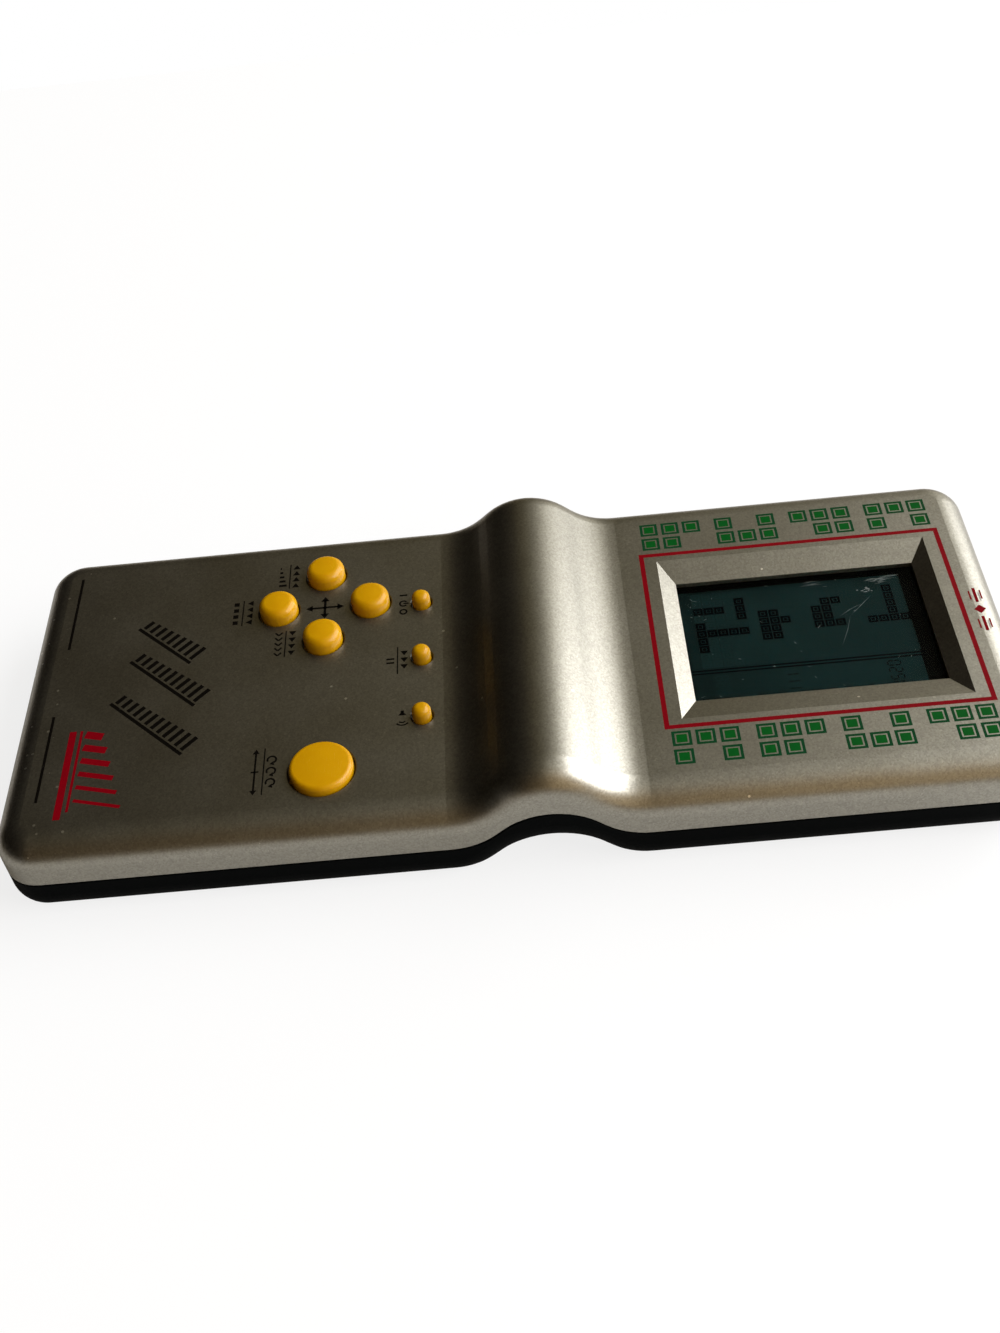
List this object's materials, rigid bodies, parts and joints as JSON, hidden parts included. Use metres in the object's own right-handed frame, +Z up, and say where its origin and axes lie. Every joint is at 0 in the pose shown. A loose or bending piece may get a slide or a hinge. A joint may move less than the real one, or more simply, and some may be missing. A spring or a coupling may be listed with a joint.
{
  "type": "handheld game console",
  "caption": "Handheld LCD game console with a humped case, a framed display window and round yellow push keys.",
  "frame": {"origin": "middle of the underside, which lies on the table, under the middle of the case's outline", "axes": "+X to the player's right, +Y along the case towards the display end, +Z up out of the face"},
  "size_m": [0.076, 0.183, 0.0253],
  "materials": {
    "silver_paint": "satin",
    "black_plastic": "satin",
    "yellow_plastic": "gloss",
    "clear_lens": "gloss",
    "display_glass": "gloss",
    "polariser_film": "gloss",
    "white_plastic": "matte",
    "grey_silicone": "matte",
    "zebra_rubber": "matte",
    "carbon_rubber": "matte",
    "board_laminate": "satin",
    "black_resin": "gloss",
    "resistor_coat": "satin",
    "ceramic_coat": "satin",
    "capacitor_sleeve": "gloss",
    "zinc_steel": "satin",
    "cell_case": "satin",
    "spring_steel": "satin",
    "buzzer_brass": "satin",
    "piezo_ceramic": "matte",
    "red_wire": "gloss",
    "black_wire": "gloss"
  },
  "bodies": {
    "case": {"front_cover": "silver_paint", "rear_cover": "black_plastic", "window_lens": "clear_lens", "lcd_holder": "white_plastic", "zebra_strips": "zebra_rubber", "lcd_polariser": "polariser_film", "lcd_front_glass": "display_glass", "lcd_rear_glass": "display_glass", "lcd_reflector": "polariser_film", "main_board": "board_laminate", "chip_blob": "black_resin", "resistors": "resistor_coat", "ceramic_capacitors": "ceramic_coat", "tank_capacitor": "capacitor_sleeve", "direction_mat": "grey_silicone", "function_mat": "grey_silicone", "rotate_mat": "grey_silicone", "carbon_pills": "carbon_rubber", "case_screws": "zinc_steel", "board_screws": "zinc_steel", "battery_cell_low": "cell_case", "battery_cell_high": "cell_case", "bridge_contact": "spring_steel", "positive_contact": "spring_steel", "negative_contact": "spring_steel", "buzzer_disc": "buzzer_brass", "buzzer_ceramic": "piezo_ceramic", "positive_lead": "red_wire", "negative_lead": "black_wire", "buzzer_lead_disc": "black_wire", "buzzer_lead_ceramic": "red_wire"},
    "door": {"battery_door": "black_plastic"},
    "left_key": {"left_button": "yellow_plastic"},
    "right_key": {"right_button": "yellow_plastic"},
    "up_key": {"up_button": "yellow_plastic"},
    "down_key": {"down_button": "yellow_plastic"},
    "rotate_key": {"rotate_button": "yellow_plastic"},
    "on_off_key": {"on_off_button": "yellow_plastic"},
    "start_key": {"start_button": "yellow_plastic"},
    "sound_key": {"sound_button": "yellow_plastic"}
  },
  "joints": [
    {"name": "door_hinge", "type": "hinge", "parent": "case", "child": "door", "pos_m": [0, -0.08519, 0.0001], "axis": [-1, 0, 0], "range_deg": [0, 75]},
    {"name": "press_left", "type": "slide", "parent": "case", "child": "left_key", "axis": [0, 0, -1], "range_m": [0, 0.0009], "stiffness_N_per_m": 600, "springref_m": -0.0005},
    {"name": "press_right", "type": "slide", "parent": "case", "child": "right_key", "axis": [0, 0, -1], "range_m": [0, 0.0009], "stiffness_N_per_m": 600, "springref_m": -0.0005},
    {"name": "press_up", "type": "slide", "parent": "case", "child": "up_key", "axis": [0, 0, -1], "range_m": [0, 0.0009], "stiffness_N_per_m": 600, "springref_m": -0.0005, "deforming": ["direction_mat"]},
    {"name": "press_down", "type": "slide", "parent": "case", "child": "down_key", "axis": [0, 0, -1], "range_m": [0, 0.0009], "stiffness_N_per_m": 600, "springref_m": -0.0005},
    {"name": "press_rotate", "type": "slide", "parent": "case", "child": "rotate_key", "axis": [0, 0, -1], "range_m": [0, 0.0009], "stiffness_N_per_m": 600, "springref_m": -0.0005, "deforming": ["rotate_mat"]},
    {"name": "press_on_off", "type": "slide", "parent": "case", "child": "on_off_key", "axis": [0, 0, -1], "range_m": [0, 0.0009], "stiffness_N_per_m": 600, "springref_m": -0.0005},
    {"name": "press_start", "type": "slide", "parent": "case", "child": "start_key", "axis": [0, 0, -1], "range_m": [0, 0.0009], "stiffness_N_per_m": 600, "springref_m": -0.0005, "deforming": ["function_mat"]},
    {"name": "press_sound", "type": "slide", "parent": "case", "child": "sound_key", "axis": [0, 0, -1], "range_m": [0, 0.0009], "stiffness_N_per_m": 600, "springref_m": -0.0005}
  ]
}
